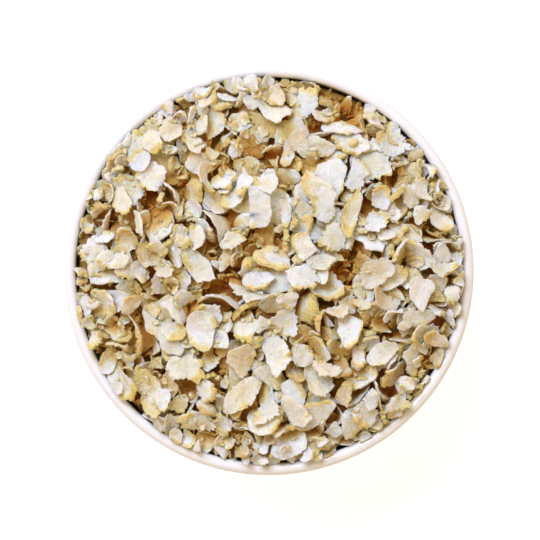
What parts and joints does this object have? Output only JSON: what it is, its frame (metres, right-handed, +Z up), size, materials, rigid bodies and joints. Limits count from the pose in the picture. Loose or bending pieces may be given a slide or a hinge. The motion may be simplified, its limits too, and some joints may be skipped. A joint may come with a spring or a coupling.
{
  "type": "bowl of quinoa flakes",
  "caption": "Small round pinch bowl of plain white porcelain, heaped to the brim with dry, pale quinoa flakes.",
  "frame": {"origin": "middle of the bowl's foot ring, on the surface that the bowl stands on", "axes": "+Z up, out of the bowl's mouth; X and Y lie in the table's plane, and the bowl is turned about Z"},
  "size_m": [0.051, 0.051, 0.0289],
  "materials": {
    "porcelain": "gloss",
    "flaked_quinoa": "matte"
  },
  "bodies": {
    "root": {"bowl": "porcelain", "quinoa_flakes": "flaked_quinoa"}
  },
  "joints": []
}
